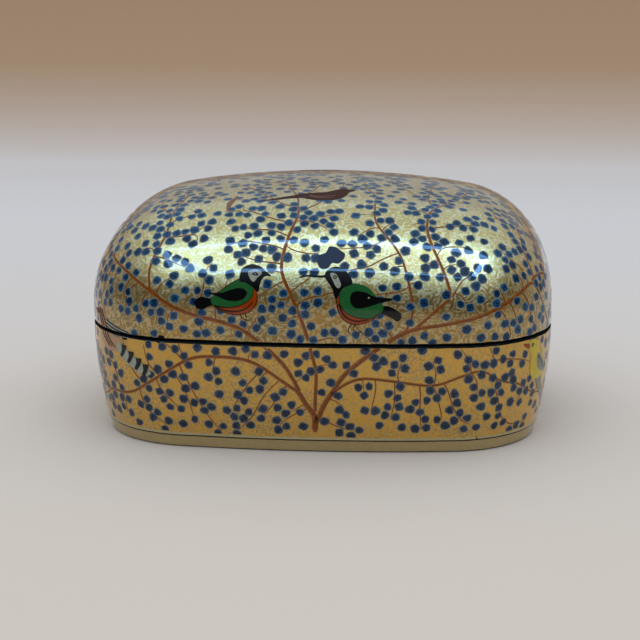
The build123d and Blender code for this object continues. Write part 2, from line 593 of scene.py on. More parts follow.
@dataclass(frozen=True)
class TwigPaint:
    """Red-brown strokes, lighter along one edge."""

    name: str
    core: Colour
    light: Colour
    ragged_size: float = 2.5 * MM
    ragged_swing: float = 0.9
    roughness: float = 0.5

    def make(self, lacquer: Lacquer) -> Material:
        """Builds the material, which reads how far across its stroke a place is from the mesh.

        Args:
            lacquer: The varnish over it.

        Returns:
            The material.
        """
        material, b = new_material(self.name)
        ragged = b.wander(b.coordinate(), self.ragged_size, self.ragged_swing)
        edge = b.ease(b.calc("ADD", b.tag("stroke")[0], ragged), 0.15, 0.85)
        colour = b.blend(b.times(edge, 0.75), self.core, self.light)
        lacquer.coat(b, lacquer.streaked(b, colour, 0.4), roughness=self.roughness)
        return material


# --- The outside of the shells ---


class Cells:
    """Points sorted into cubes, so that those near a spot are found fast."""

    def __init__(self, size: float) -> None:
        """Starts empty, with cubes of a size."""
        self.size = size
        self.cubes: dict[tuple[int, ...], list[Vector]] = {}

    def _cube(self, spot: Vector) -> tuple[int, ...]:
        """Gives the cube that a spot lies in."""
        return tuple(math.floor(value / self.size) for value in spot)

    def add(self, spot: Vector) -> None:
        """Keeps a point."""
        self.cubes.setdefault(self._cube(spot), []).append(spot)

    def clear(self, spot: Vector, room: float) -> bool:
        """Tells whether no kept point is near a spot.

        Args:
            spot: The spot.
            room: Least distance to a point.

        Returns:
            Whether all the points are that far away.
        """
        reach = math.ceil(room / self.size)
        shifts = itertools.product(range(-reach, reach + 1), repeat=3)
        middle = self._cube(spot)
        cubes = (tuple(map(sum, zip(middle, shift))) for shift in shifts)
        return all((other - spot).length >= room for cube in cubes for other in self.cubes.get(cube, ()))


class Skin:
    """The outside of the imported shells, for pressing paint on and for finding where a line of sight lands."""

    def __init__(self, nodes: Iterable[bpy.types.Object], seam: float) -> None:
        """Gathers the faces that point away from the middle.

        Args:
            nodes: The CAD objects.
            seam: Height of the plane between them.
        """
        outward = 0.2  # least cosine between a face's normal and the way out of the box
        self.corners: list[list[Vector]] = []
        self.normals: list[list[Vector]] = []
        for node in nodes:
            mesh = node.data
            smooth = [Vector(c.vector) for c in mesh.corner_normals]
            for face in mesh.polygons:
                hub = Vector((0, 0, min(face.center.z, seam)))
                if face.normal.dot((face.center - hub).normalized()) > outward:
                    self.corners.append([mesh.vertices[i].co.copy() for i in face.vertices])
                    self.normals.append([smooth[i] for i in face.loop_indices])
        points = [p for corner in self.corners for p in corner]
        faces = [(i, i + 1, i + 2) for i in range(0, len(points), 3)]
        self.tree = BVHTree.FromPolygons(points, faces)

    def press(self, point: Vector, height: float = 0.0) -> tuple[Vector, Vector]:
        """Moves a point to the skin.

        Args:
            point: A place near the skin.
            height: How far above the skin it ends.

        Returns:
            The new place and the smooth normal there.
        """
        spot, _, index, _ = self.tree.find_nearest(point)
        normal = Vector((0, 0, 0))
        for share, corner in zip(poly_3d_calc(self.corners[index], spot), self.normals[index]):
            normal += corner * share
        normal.normalize()
        return spot + normal * height, normal

    def seen(self, eye: Vector, direction: Vector) -> Vector:
        """Follows a line of sight.

        Args:
            eye: Where it starts.
            direction: The way it runs.

        Returns:
            The first point of the skin on it.
        """
        spot = self.tree.ray_cast(eye, direction)[0]
        if spot is None:
            raise ValueError(f"the line of sight along {tuple(direction)} misses the box")
        return spot

    def scatter(self, gap: float, rng: random.Random, tries: int = 9000) -> list[Vector]:
        """Spreads points over the skin no nearer to each other than a gap.

        Args:
            gap: Least distance between two points.
            rng: The seeded source of random numbers.
            tries: Number of darts thrown.

        Returns:
            The points that were kept.
        """
        sizes = [(c[1] - c[0]).cross(c[2] - c[0]).length for c in self.corners]
        cells = Cells(gap)
        kept = []
        for a, b, c in rng.choices(self.corners, weights=sizes, k=tries):
            u, v = sorted((rng.random(), rng.random()))
            spot = a * u + b * (v - u) + c * (1 - v)
            if cells.clear(spot, gap):
                cells.add(spot)
                kept.append(spot)
        return kept


def dragged(bm: BMesh, edge: BMEdge) -> BMEdge:
    """Extrudes an edge into a face and gives the new edge across from it."""
    made = bmesh.ops.extrude_edge_only(bm, edges=[edge])["geom"]
    return next(e for e in made if isinstance(e, BMEdge))


def smooth_mesh(name: str, bm: BMesh) -> bpy.types.Mesh:
    """Turns a sketch into a smooth mesh.

    Args:
        name: Name of the mesh.
        bm: The sketch, which is freed.

    Returns:
        The mesh.
    """
    mesh = bpy.data.meshes.new(name)
    bm.to_mesh(mesh)
    bm.free()
    mesh.polygons.foreach_set("use_smooth", [True] * len(mesh.polygons))
    return mesh


def add_object(name: str, data: bpy.types.ID) -> bpy.types.Object:
    """Adds an object to the scene.

    Args:
        name: Its name.
        data: Its mesh, lamp or camera.

    Returns:
        The object.
    """
    made = bpy.data.objects.new(name, data)
    bpy.context.scene.collection.objects.link(made)
    return made


def half_turn(spot: Vector) -> Vector:
    """Turns a place or a direction to the back of the box."""
    return Vector((-spot.x, -spot.y, spot.z))


# --- Camera and studio ---


@dataclass(frozen=True)
class Viewpoint:
    """The camera: where it stands, what it looks at, and its lens."""

    place: Vector = field(default_factory=lambda: Vector((43.97, -601.32, 171.48)) * MM)
    aim: Vector = field(default_factory=lambda: Vector((-2.00, -0.69, 30.62)) * MM)
    lens: float = 102.84
    sensor: float = 36.0
    image: int = 640
    clip: Span = (0.01, 20)

    def turn(self) -> Matrix:
        """Gives the rotation that points the camera at its aim."""
        return (self.aim - self.place).to_track_quat("-Z", "Y").to_matrix()

    def look(self, skin: Skin, column: float, row: float) -> Vector:
        """Finds the place on the skin that shows at a pixel.

        Args:
            skin: The outside of the box.
            column: Pixels from the left of a 640 by 640 frame.
            row: Pixels from its top.

        Returns:
            The place on the skin.
        """
        pitch = self.sensor / self.image
        half = self.image / 2
        ray = self.turn() @ Vector(((column - half) * pitch, (half - row) * pitch, -self.lens))
        return skin.seen(self.place, ray.normalized())

    def build(self) -> None:
        """Makes the camera and gives it to the scene."""
        data = bpy.data.cameras.new("view")
        data.lens = self.lens
        data.sensor_width = self.sensor
        data.clip_start, data.clip_end = self.clip
        camera = add_object("view", data)
        camera.matrix_world = Matrix.Translation(self.place) @ self.turn().to_4x4()
        bpy.context.scene.camera = camera


@dataclass(frozen=True)
class Lamp:
    """A rectangular lamp that hangs level and faces down."""

    name: str
    middle: Point  # x and y of its centre
    size: Point  # along x and along y, before it is turned
    glow: float  # brightness of its face, where 1 shows white
    hue: Colour
    turn: float = 0.0  # degrees, counterclockwise from above
    height: float = 0.60
    lights: bool = True  # whether it lights matt surfaces
    mirrors: bool = True  # whether glossy surfaces reflect it

    def hang(self) -> None:
        """Makes the lamp at its height over the floor."""
        data = bpy.data.lights.new(self.name, "AREA")
        data.shape = "RECTANGLE"
        data.size, data.size_y = self.size
        data.energy = self.glow * math.pi * data.size * data.size_y
        data.color = self.hue[:3]
        lamp = add_object(self.name, data)
        lamp.location = (*self.middle, self.height)
        lamp.rotation_euler = (0, 0, math.radians(self.turn))
        lamp.visible_diffuse = self.lights
        lamp.visible_glossy = self.mirrors


COOL = tone(128, 188, 255)
WARM = tone(255, 246, 226)
LAMPS = (
    Lamp("fill", (0.0, 0.0), (2.8, 2.8), 0.52, tone(255, 212, 160), height=1.0, mirrors=False),
    Lamp("panel", (0.05, -0.46), (0.80, 0.44), 0.49, tone(212, 222, 230)),
    Lamp("strip_back", (0.06, -0.210), (0.90, 0.050), 14.5, COOL, turn=4.5, lights=False),
    Lamp("strip_front", (0.04, -0.690), (0.88, 0.090), 12.5, COOL, turn=6.0, lights=False),
    Lamp("strip_left", (-0.385, -0.47), (0.070, 0.44), 12.0, COOL, lights=False),
    Lamp("strip_right", (0.505, -0.38), (0.080, 0.40), 28.0, COOL, lights=False),
    Lamp("glow_right", (0.84, -0.72), (0.52, 0.70), 0.26, WARM, lights=False),
    Lamp("glow_left", (-0.78, -0.66), (0.50, 0.50), 0.12, WARM, lights=False),
)


@dataclass(frozen=True)
class Sweep:
    """The paper floor, which curves up into a low backdrop, with painted shade on the backdrop and on the floor
    towards the camera.
    """

    half_width: float = 1.6
    front: float = -1.6
    back: float = 0.55  # where it starts to curve up
    bend: float = 0.28  # radius of the curve
    rise: float = 0.15
    steps: int = 16
    near: Colour = tone(219, 206, 190)
    far: Colour = tone(222, 220, 220)
    # painted shade: the dark colour that the floor turns to towards and past the camera
    edge: Colour = tone(112, 105, 98)
    # painted shade: the brownish tone of the backdrop where it rises, standing in for a wall in shade
    tan: Colour = tone(186, 156, 126)
    grey: Colour = tone(208, 214, 220)
    far_span: Span = (-0.3, 0.5)  # how far away near turns to far
    floor_shade_span: Span = (-0.42, -1.2)  # painted shade: and, towards the camera, to the dark colour of edge
    wall_shade_height: float = 50 * MM
    wall_shade_curve: float = 0.45
    turn_span: Span = (0.32, 0.58)
    turn_share: float = 0.16  # of the painted wall shade in the floor just before it turns up
    grey_heights: Span = (95 * MM, 180 * MM)

    def _mesh(self) -> bpy.types.Mesh:
        """Drags an edge along the profile of the sweep.

        Returns:
            The mesh.
        """
        profile = [Vector((0, self.front, 0)), Vector((0, self.back, 0))]
        for step in range(1, self.steps + 1):
            angle = math.pi / 2 * step / self.steps
            along = self.back + self.bend * math.sin(angle)
            profile.append(Vector((0, along, self.bend * (1 - math.cos(angle)))))
        profile.append(Vector((0, self.back + self.bend, self.rise)))
        bm = bmesh.new()
        ends = [bm.verts.new(profile[0] + Vector((side * self.half_width, 0, 0))) for side in (-1, 1)]
        edge = bm.edges.new(ends)
        for before, after in zip(profile, profile[1:]):
            edge = dragged(bm, edge)
            bmesh.ops.translate(bm, verts=list(edge.verts), vec=after - before)
        bmesh.ops.recalc_face_normals(bm, faces=bm.faces[:])
        return smooth_mesh("sweep", bm)

    def _paper(self) -> Material:
        """Builds the paper, which changes colour with its distance and its height, with painted shade on the
        rising backdrop and towards the camera.

        Returns:
            The material.
        """
        material, b = new_material("sweep_paper")
        _, away, height = b.parts(b.coordinate())
        colour = b.blend(b.ease(away, *self.far_span), self.near, self.far)
        # painted shade: the floor darkens towards the camera
        colour = b.blend(b.ease(away, *self.floor_shade_span), colour, self.edge)
        # painted shade: the backdrop darkens to brown as it rises, and a little of it reaches onto the floor
        # before the bend
        climb = b.calc("MINIMUM", b.calc("DIVIDE", height, self.wall_shade_height), 1.0)
        turning = b.times(b.ease(away, *self.turn_span), self.turn_share)
        tan = b.calc("MAXIMUM", b.calc("POWER", climb, self.wall_shade_curve), turning)
        colour = b.blend(tan, colour, self.tan)
        colour = b.blend(b.ease(height, *self.grey_heights), colour, self.grey)
        b.show("ShaderNodeBsdfPrincipled", {"Base Color": colour, "Roughness": 0.9})
        return material

    def build(self) -> None:
        """Makes the sweep and gives it its paper."""
        sweep = add_object("sweep", self._mesh())
        sweep.data.materials.append(self._paper())


@dataclass(frozen=True)
class Studio:
    """The sweep under a soft bright zenith and an overhead panel with a brighter frame round it."""

    sweep: Sweep = Sweep()
    lamps: tuple[Lamp, ...] = LAMPS
    zenith: Colour = (0.54, 0.76, 0.98, 1.0)
    zenith_reach: Span = (0.30, 0.74)  # upward share of the direction, where it starts and is full
    horizon: Colour = (0.045, 0.04, 0.035, 1.0)
    horizon_back: Colour = (0.34, 0.35, 0.36, 1.0)
    back_reach: Span = (-0.2, 0.5)  # backward share of the direction

    def build(self) -> None:
        """Makes the sweep, the lamps and the plain sky."""
        self.sweep.build()
        for lamp in self.lamps:
            lamp.hang()
        world = bpy.data.worlds.new("studio")
        world.use_nodes = True
        b = Bench(world.node_tree)
        _, backward, upward = b.parts(b.coordinate("Generated"))
        glow = b.blend(b.ease(backward, *self.back_reach), self.horizon, self.horizon_back)
        glow = b.blend(b.ease(upward, *self.zenith_reach), glow, self.zenith)
        b.show("ShaderNodeBackground", {"Color": glow, "Strength": 1.0}, "ShaderNodeOutputWorld")
        bpy.context.scene.world = world
        bpy.context.scene.view_settings.view_transform = "Standard"


# --- Paint laid on the skin ---


def between(a: Vector, b: Vector, c: Vector, d: Vector, t: float) -> Vector:
    """Gives the point a share t of the way from b to c, on the smooth curve through a, b, c and d."""
    pull = (c - a) * t + (a * 2 - b * 5 + c * 4 - d) * t**2 + (b * 3 - a - c * 3 + d) * t**3
    return b + pull / 2


def flowing(points: Sequence[Vector], step: float) -> list[Vector]:
    """Draws a smooth curve through a few points.

    Args:
        points: The points that it passes.
        step: Distance between neighbours on the curve.

    Returns:
        The points of the curve, ends included.
    """
    ends = [points[0] * 2 - points[1], *points, points[-1] * 2 - points[-2]]
    curve = [points[0].copy()]
    for a, b, c, d in zip(ends, ends[1:], ends[2:], ends[3:]):
        count = max(1, round((c - b).length / step))
        curve += [between(a, b, c, d, number / count) for number in range(1, count + 1)]
    return curve


def looped(points: Sequence[Point], share: int = 4) -> list[Vector]:
    """Draws a smooth closed outline through a few points.

    Args:
        points: The points that it passes, in millimetres on the figure's plane.
        share: Pieces that each stretch is cut into.

    Returns:
        The points of the outline, in metres.
    """
    corners = [Vector((x, y, 0)) * MM for x, y in points]
    curve = []
    for number in range(len(corners)):
        around = [corners[(number + shift) % len(corners)] for shift in (-1, 0, 1, 2)]
        curve += [between(*around, part / share) for part in range(share)]
    return curve


class Half(Enum):
    """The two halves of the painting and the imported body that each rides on."""

    LID = ("lid", "lid", "lid_lacquer")
    BODY = ("body", "base", "body_lacquer")

    def __init__(self, prefix: str, rides_on: str, slot: str) -> None:
        """Keeps what the pieces of a half need.

        Args:
            prefix: Start of the names of its pieces.
            rides_on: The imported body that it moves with.
            slot: The record's material slot.
        """
        self.prefix = prefix
        self.rides_on = rides_on
        self.slot = slot


@dataclass(frozen=True)
class Edges:
    """Where the painting stops: at the black rims and at the foot of the body."""

    seam: float
    rim: float = 0.65 * MM
    foot: float = 5.3 * MM

    def cuts(self, half: Half) -> list[tuple[float, int]]:
        """Gives the heights that a half is cut at, each with +1 where what lies above it goes."""
        lid, body = [(self.seam + self.rim, -1)], [(self.seam - self.rim, 1), (self.foot, -1)]
        return lid if half is Half.LID else body


class Relief:
    """Thin paint in one mesh: strokes, dabs and patches pressed onto the skin."""

    sink = 0.03 * MM
    cell = 1.8 * MM  # size of the squares that a patch is cut into, so that it follows the curve of the box

    def __init__(self, skin: Skin, tag: str) -> None:
        """Starts empty.

        Args:
            skin: What the paint lies on.
            tag: Name of the vector that strokes or dabs carry for their finish.
        """
        self.skin = skin
        self.bm = bmesh.new()
        self.tag = tag
        self.bm.verts.layers.float_vector.new(tag)

    def _take(self, part: BMesh, height: float, material: int) -> None:
        """Thickens a sheet of paint, with its underside sunk into the skin, and adds it.

        Args:
            part: The sheet, which is freed.
            height: Thickness of the paint above the skin.
            material: Number of its material.
        """
        bmesh.ops.recalc_face_normals(part, faces=part.faces[:])
        largest = max(part.faces, key=lambda face: face.calc_area())
        if largest.normal.dot(self.skin.press(largest.calc_center_median())[1]) < 0:
            bmesh.ops.reverse_faces(part, faces=part.faces[:])
        made = bmesh.ops.extrude_face_region(part, geom=part.faces[:])["geom"]
        top = {element for element in made if isinstance(element, BMVert)}
        for vert in part.verts:
            vert.co = self.skin.press(vert.co, height if vert in top else -self.sink)[0]
        for face in part.faces:
            face.material_index = material
        mesh = bpy.data.meshes.new("part")
        part.to_mesh(mesh)
        part.free()
        self.bm.from_mesh(mesh)
        bpy.data.meshes.remove(mesh)

    def stroke(
        self, path: Sequence[Vector], widths: Sequence[float], height: float, material: int = 0
    ) -> None:
        """Lays a brush stroke by dragging a short edge along a path.

        Args:
            path: Points on the skin.
            widths: Width at each point.
            height: Thickness of the paint above the skin.
            material: Number of its material.
        """
        part = bmesh.new()
        layer = part.verts.layers.float_vector.new(self.tag)
        edge = part.edges.new([part.verts.new(path[0]), part.verts.new(path[0])])
        for number, (spot, width) in enumerate(zip(path, widths)):
            before, after = path[max(number - 1, 0)], path[min(number + 1, len(path) - 1)]
            normal = self.skin.press(spot)[1]
            side = normal.cross(after - before).normalized() * (width / 2)
            if number > 0:
                edge = dragged(part, edge)
            for vert, sign in zip(edge.verts, (-1, 1)):
                vert.co = spot + side * sign
                vert[layer] = (sign, 0, 0)
        self._take(part, height, material)

    def patch(self, outline: Sequence[Vector], place: Matrix, height: float, material: int) -> None:
        """Lays a flat area of paint.

        Args:
            outline: Its edge, in the plane of the figure.
            place: The figure's plane in the row frame.
            height: Thickness of the paint above the skin.
            material: Number of its material.
        """
        part = bmesh.new()
        part.faces.new([part.verts.new(point) for point in outline])
        for axis, across in enumerate((Vector((1, 0, 0)), Vector((0, 1, 0)))):
            low = min(point[axis] for point in outline)
            high = max(point[axis] for point in outline)
            for number in range(1, math.ceil((high - low) / self.cell)):
                geom = part.verts[:] + part.edges[:] + part.faces[:]
                cut = across * (low + number * self.cell)
                bmesh.ops.bisect_plane(part, geom=geom, plane_co=cut, plane_no=across)
        bmesh.ops.triangulate(part, faces=part.faces[:])
        bmesh.ops.transform(part, matrix=place, verts=part.verts[:])
        self._take(part, height, material)

    def finish(self, name: str, half: Half, edges: Edges, materials: Sequence[Material]) -> None:
        """Cuts one half out of the paint and makes it a piece of the box.

        Args:
            name: Name of the paint.
            half: The half that is kept.
            edges: Where the painting stops.
            materials: Its materials in order.
        """
        bm = self.bm.copy()
        for height, side in edges.cuts(half):
            geom = bm.verts[:] + bm.edges[:] + bm.faces[:]
            plane = {"plane_co": (0, 0, height), "plane_no": (0, 0, side)}
            bmesh.ops.bisect_plane(bm, geom=geom, clear_outer=True, **plane)
            open_edges = [edge for edge in bm.edges if edge.is_boundary]
            bmesh.ops.holes_fill(bm, edges=open_edges, sides=0)
        if not bm.faces:
            bm.free()
            return
        bmesh.ops.triangulate(bm, faces=[face for face in bm.faces if len(face.verts) > 4])
        mesh = smooth_mesh(f"{half.prefix}_{name}", bm)
        mesh.normals_split_custom_set_from_vertices([self.skin.press(v.co)[1] for v in mesh.vertices])
        for material in materials:
            mesh.materials.append(material)
        piece = add_object(mesh.name, mesh)
        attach(piece, half.rides_on)
        LOG.info("%s laid with %d faces", piece.name, len(mesh.polygons))


class Grove:
    """Painted trees: trunks and limbs set out from listed points, and twigs that reach for the blossom places.
    """

    step = 1.5 * MM
    reach = 2.0 * MM  # how near a twig has to come to its goal
    rounds = 160
    straightness = 0.6
    waver = 0.45
    thinnest = 0.27 * MM
    thickest = 2.1 * MM
    thickening = 0.115 * MM  # width gained with the square root of the number of tips carried
    root_share = 0.5  # share of its width at the very foot of a trunk
    shortest = 3  # points of the shortest branch that is painted
    smoothing = 3  # times that a stroke's path is evened out
    taper = (0.45, 0.63, 0.81)  # shares of its width at a stroke's last points, from the very end

    def __init__(self, skin: Skin, rng: random.Random) -> None:
        """Starts with bare skin.

        Args:
            skin: What the trees are painted on.
            rng: The seeded source of random numbers.
        """
        self.skin = skin
        self.rng = rng
        self.spots: list[Vector] = []
        self.parents: list[int] = []
        self.loads: list[int] = []

    def _add(self, spot: Vector, parent: int) -> int:
        """Adds a point of wood.

        Args:
            spot: Its place.
            parent: Number of the point that it grows from, or -1.

        Returns:
            Its number.
        """
        self.spots.append(spot)
        self.parents.append(parent)
        return len(self.spots) - 1

    def wood(self) -> KDTree:
        """Gives a search tree of the wood so far.

        Returns:
            The tree.
        """
        tree = KDTree(len(self.spots))
        for number, spot in enumerate(self.spots):
            tree.insert(spot, number)
        tree.balance()
        return tree

    def limb(self, points: Sequence[Vector], root: bool = False) -> None:
        """Plants a limb.

        Args:
            points: Places on the skin that it passes, from its foot.
            root: Whether it stands on its own foot and not on earlier wood.
        """
        parent = -1 if root else self.wood().find(points[0])[1]
        for spot in flowing(points, self.step)[0 if root else 1 :]:
            parent = self._add(self.skin.press(spot)[0], parent)

    def _sprout(self, index: int, pull: Vector) -> None:
        """Grows one step of a twig.

        Args:
            index: Number of the wood that it grows from.
            pull: The way to its goals.
        """
        heading = pull.normalized()
        if self.parents[index] >= 0:
            run = self.spots[index] - self.spots[self.parents[index]]
            heading += run.normalized() * self.straightness
        heading += Vector([self.rng.uniform(-self.waver, self.waver) for _ in range(3)])
        self._add(self.skin.press(self.spots[index] + heading.normalized() * self.step)[0], index)

    def grow(self, goals: Sequence[Vector]) -> list[int]:
        """Lets twigs grow towards the goals, each from the nearest wood.

        Args:
            goals: Places that twigs should reach.

        Returns:
            The number of the last point of wood at each goal that was reached.
        """
        waiting = list(goals)
        tips = []
        for _ in range(self.rounds):
            tree = self.wood()
            pulls: dict[int, Vector] = {}
            missed = []
            for goal in waiting:
                spot, index, distance = tree.find(goal)
                if distance < self.reach:
                    tips.append(self._add(goal.copy(), index))
                else:
                    missed.append(goal)
                    pulls[index] = pulls.get(index, Vector((0, 0, 0))) + (goal - spot).normalized()
            if not missed:
                break
            waiting = missed
            for index, pull in pulls.items():
                self._sprout(index, pull)
        return tips

    def weigh(self, tips: Iterable[int]) -> None:
        """Counts how many tips each point of wood carries.

        Args:
            tips: The ends of the twigs.
        """
        self.loads = [0] * len(self.spots)
        for tip in tips:
            index = tip
            while index >= 0:
                self.loads[index] += 1
                index = self.parents[index]

    def width(self, index: int) -> float:
        """Gives the width of the stroke at a point of wood."""
        return min(self.thickest, self.thinnest + self.thickening * self.loads[index] ** 0.5)

    def way(self, tip: int, used: Iterable[int] = ()) -> list[int]:
        """Follows the wood from a tip back to wood that is in use already.

        Args:
            tip: Where it starts.
            used: The wood in use.

        Returns:
            The numbers of the wood, the tip last.
        """
        path = [tip]
        while self.parents[path[-1]] >= 0:
            path.append(self.parents[path[-1]])
            if path[-1] in used:
                break
        return path[::-1]

    def paint(self, relief: Relief, tips: Iterable[int], height: float) -> None:
        """Paints every branch as one stroke from where it leaves older wood to its tip.

        Args:
            relief: Where the strokes go.
            tips: The ends of the branches.
            height: Thickness of the paint.
        """
        used: set[int] = set()
        for _, tip in sorted(((len(self.way(tip)), tip) for tip in tips), reverse=True):
            path = self.way(tip, used)
            if len(path) < self.shortest:
                continue
            used.update(path)
            spots = [self.spots[index] for index in path]
            for _ in range(self.smoothing):
                middle = [(a + b * 2 + c) / 4 for a, b, c in zip(spots, spots[1:], spots[2:])]
                spots = [spots[0], *middle, spots[-1]]
            widths = [self.width(index) for index in (path[1], *path[1:])]
            for back, share in enumerate(self.taper, 1):
                widths[-back] *= share
            if self.parents[path[0]] < 0:
                widths[0] *= self.root_share
            relief.stroke([self.skin.press(spot)[0] for spot in spots], widths, height)


class DabShape(Enum):
    """The ways in which a dab turns out: how strongly its edge swells, in how many lobes, and how often."""

    ROUND = (0.05, 3, 8)
    LOBED = (0.10, 5, 4)
    TRIPLE = (0.11, 3, 3)
    SQUARE = (0.10, 4, 5)

    def __init__(self, swell: float, lobes: int, share: int) -> None:
        """Names the three numbers."""
        self.swell, self.lobes, self.share = swell, lobes, share


@dataclass
class Blossoms:
    """Blue dabs set in pairs along the ends of the twigs."""

    skin: Skin
    rng: random.Random
    seam: float
    keep_off: Sequence[Zone]  # places with the distance to stay away from each
    seam_gap: float = 1.0 * MM
    radius: float = 1.68 * MM
    sizes: Span = (0.88, 1.08)  # shares of the radius
    widths: Span = (0.88, 1.0)  # shares of a dab's length
    squeeze: float = 0.04  # how far a dab is from even, besides its lobes
    inset: float = 0.24  # share of the radius in which the paint thins out
    height: float = 0.085 * MM
    edge_height: float = 0.35  # share of the height that is left at the edge of a dab
    pair: float = 1.68 * MM  # from the twig to the middle of a dab beside it
    pitch: float = 3.15 * MM  # from one pair to the next
    setback: float = 0.9 * MM  # from the tip to the first pair
    ahead: float = 1.512 * MM  # from the tip to a single dab past it
    least: float = 2.6 * MM
    slip: float = 0.7 * MM
    uneven: Span = (0.85, 1.15)
    counts: tuple[int, ...] = (4, 5, 6, 7, 8)
    count_shares: tuple[int, ...] = (3, 6, 5, 4, 2)
    corners: int = 12
    centres: list[Vector] = field(default_factory=list)
    headings: list[Vector] = field(default_factory=list)

    def __post_init__(self) -> None:
        """Starts with no dabs."""
        self.cells = Cells(self.least)

    def set(self, spot: Vector, heading: Vector, room: float = 0.0) -> None:
        """Sets a dab if there is room.

        Args:
            spot: Its middle.
            heading: The way its twig runs.
            room: Least distance to another dab, where that is more than usual.
        """
        spot = self.skin.press(spot)[0]
        if abs(spot.z - self.seam) < self.seam_gap or not self.cells.clear(spot, max(room, self.least)):
            return
        if all((centre - spot).length > gap for centre, gap in self.keep_off):
            self.centres.append(spot)
            self.headings.append(heading)
            self.cells.add(spot)

    def bunch(self, path: Sequence[Vector]) -> None:
        """Sets four to eight dabs round the end of a twig.

        Args:
            path: Points of the twig, from its tip backwards.
        """
        count = self.rng.choices(self.counts, weights=self.count_shares)[0]
        if count % 2:
            heading = (path[0] - path[1]).normalized()
            self.set(path[0] + heading * self.ahead, heading)
        for row in range(count // 2):
            back = (self.setback + row * self.pitch) * self.rng.uniform(*self.uneven)
            spot, heading = self._along(path, back)
            side = self.skin.press(spot)[1].cross(heading).normalized()
            for sign in (-1, 1):
                off = side * sign * self.pair * self.rng.uniform(*self.uneven)
                slip = heading * self.rng.uniform(-self.slip, self.slip)
                self.set(spot + off + slip, heading)

    @staticmethod
    def _along(path: Sequence[Vector], back: float) -> tuple[Vector, Vector]:
        """Finds a place on a twig.

        Args:
            path: Points of the twig, from its tip backwards.
            back: Distance back from the tip, which may be past the last point.

        Returns:
            The place, and the way the twig runs there.
        """
        for here, there in zip(path, path[1:]):
            run = (there - here).length
            if back <= run and run > 0:
                return here.lerp(there, back / run), (here - there).normalized()
            back -= run
        heading = (path[-2] - path[-1]).normalized()
        return path[-1] - heading * back, heading

    def _template(self, tag: str) -> BMesh:
        """Makes a flat-topped round dab of radius and height 1.

        Args:
            tag: Name of the vector that each point carries.

        Returns:
            The dab.
        """
        dab = bmesh.new()
        dab.verts.layers.float_vector.new(tag)
        bmesh.ops.create_circle(dab, cap_ends=True, radius=1.0, segments=self.corners)
        raised = bmesh.ops.extrude_face_region(dab, geom=dab.faces[:])["geom"]
        top = [part for part in raised if isinstance(part, BMFace)]
        bmesh.ops.translate(dab, verts=top[0].verts[:], vec=(0, 0, 1))
        bmesh.ops.inset_region(dab, faces=top, thickness=self.inset, use_boundary=True)
        bmesh.ops.recalc_face_normals(dab, faces=dab.faces[:])
        return dab

    def _lay(
        self, relief: Relief, centre: Vector, heading: Vector, points: Sequence[BMVert]
    ) -> None:
        """Gives one copy of the template its own shape and presses it onto the skin.

        Args:
            relief: Where it lies.
            centre: Its middle.
            heading: The way its twig runs.
            points: The points of the copy.
        """
        layer = relief.bm.verts.layers.float_vector[relief.tag]
        normal = self.skin.press(centre)[1]
        up = (heading - normal * heading.dot(normal)).normalized()
        side = up.cross(normal)
        shape = self.rng.choices(list(DabShape), weights=[kind.share for kind in DabShape])[0]
        size = self.radius * self.rng.uniform(*self.sizes)
        slim = self.rng.uniform(*self.widths)
        turn, phase = self.rng.uniform(0, math.tau), self.rng.uniform(0, math.tau)
        seed = self.rng.random()
        for vert in points:
            x, y, z = vert.co
            angle = math.atan2(y, x)
            swell = shape.swell * math.sin(shape.lobes * angle + phase)
            edge = 1 + swell + self.squeeze * math.sin(2 * angle + turn)
            place = centre + (side * x * slim + up * y) * (size * edge)
            height = self.height * (self.edge_height if math.hypot(x, y) > 0.9 else 1.0)
            vert.co = self.skin.press(place, height if z > 0.5 else -relief.sink)[0]
            vert[layer] = (x, y, seed)

    def paint(self, relief: Relief) -> None:
        """Paints every dab from one template.

        Args:
            relief: Where the dabs go, which is still empty.
        """
        template = self._template(relief.tag)
        count = len(template.verts)
        mesh = bpy.data.meshes.new("dab")
        template.to_mesh(mesh)
        template.free()
        for _ in self.centres:
            relief.bm.from_mesh(mesh)
        bpy.data.meshes.remove(mesh)
        points = relief.bm.verts[:]
        for number, (centre, heading) in enumerate(zip(self.centres, self.headings)):
            self._lay(relief, centre, heading, points[number * count : (number + 1) * count])


class Paint(Enum):
    """The paints that the birds are made with."""

    GREEN = tone(34, 96, 48)
    ORANGE = tone(150, 60, 10)
    BLACK = tone(8, 10, 12)
    CHALK = tone(160, 166, 152)
    BROWN = tone(62, 36, 24)
    TAN = tone(128, 88, 66)
    PEACH = tone(186, 144, 108)
    ASH = tone(120, 122, 112)
    YELLOW = tone(206, 180, 40)
    BLUE = tone(16, 38, 70)

    def make(self, lacquer: Lacquer) -> Material:
        """Builds the paint's material, with thin varnish where the paint is worn."""
        cover = {Paint.BROWN: 0.25, Paint.TAN: 0.5}.get(self, 1.0)
        return PlainCoat(f"{self.name.lower()}_paint", self.value, cover=cover).make(lacquer)


class Area:
    """A filled shape of a figure."""

    reach_share = 0.85
    margin = 0.8 * MM

    def __init__(self, paint: Paint, *outline: Point) -> None:
        """Keeps its paint and the points that its edge passes."""
        self.paint = paint
        self.outline = outline

    def lay(self, relief: Relief, place: Matrix, height: float, material: int) -> None:
        """Lays the shape on a relief, with its figure's plane, its thickness and its material's number."""
        relief.patch(looped(self.outline), place, height, material)

    def zone(self, place: Matrix) -> Zone:
        """Gives a round place that dabs keep off.

        Args:
            place: The figure's plane in the row frame.

        Returns:
            The middle of the shape and most of its reach.
        """
        outline = looped(self.outline, 1)
        middle = sum(outline, Vector()) / len(outline)
        reach = sorted((point - middle).length for point in outline)[len(outline) // 2]
        return place @ middle, reach * self.reach_share + self.margin


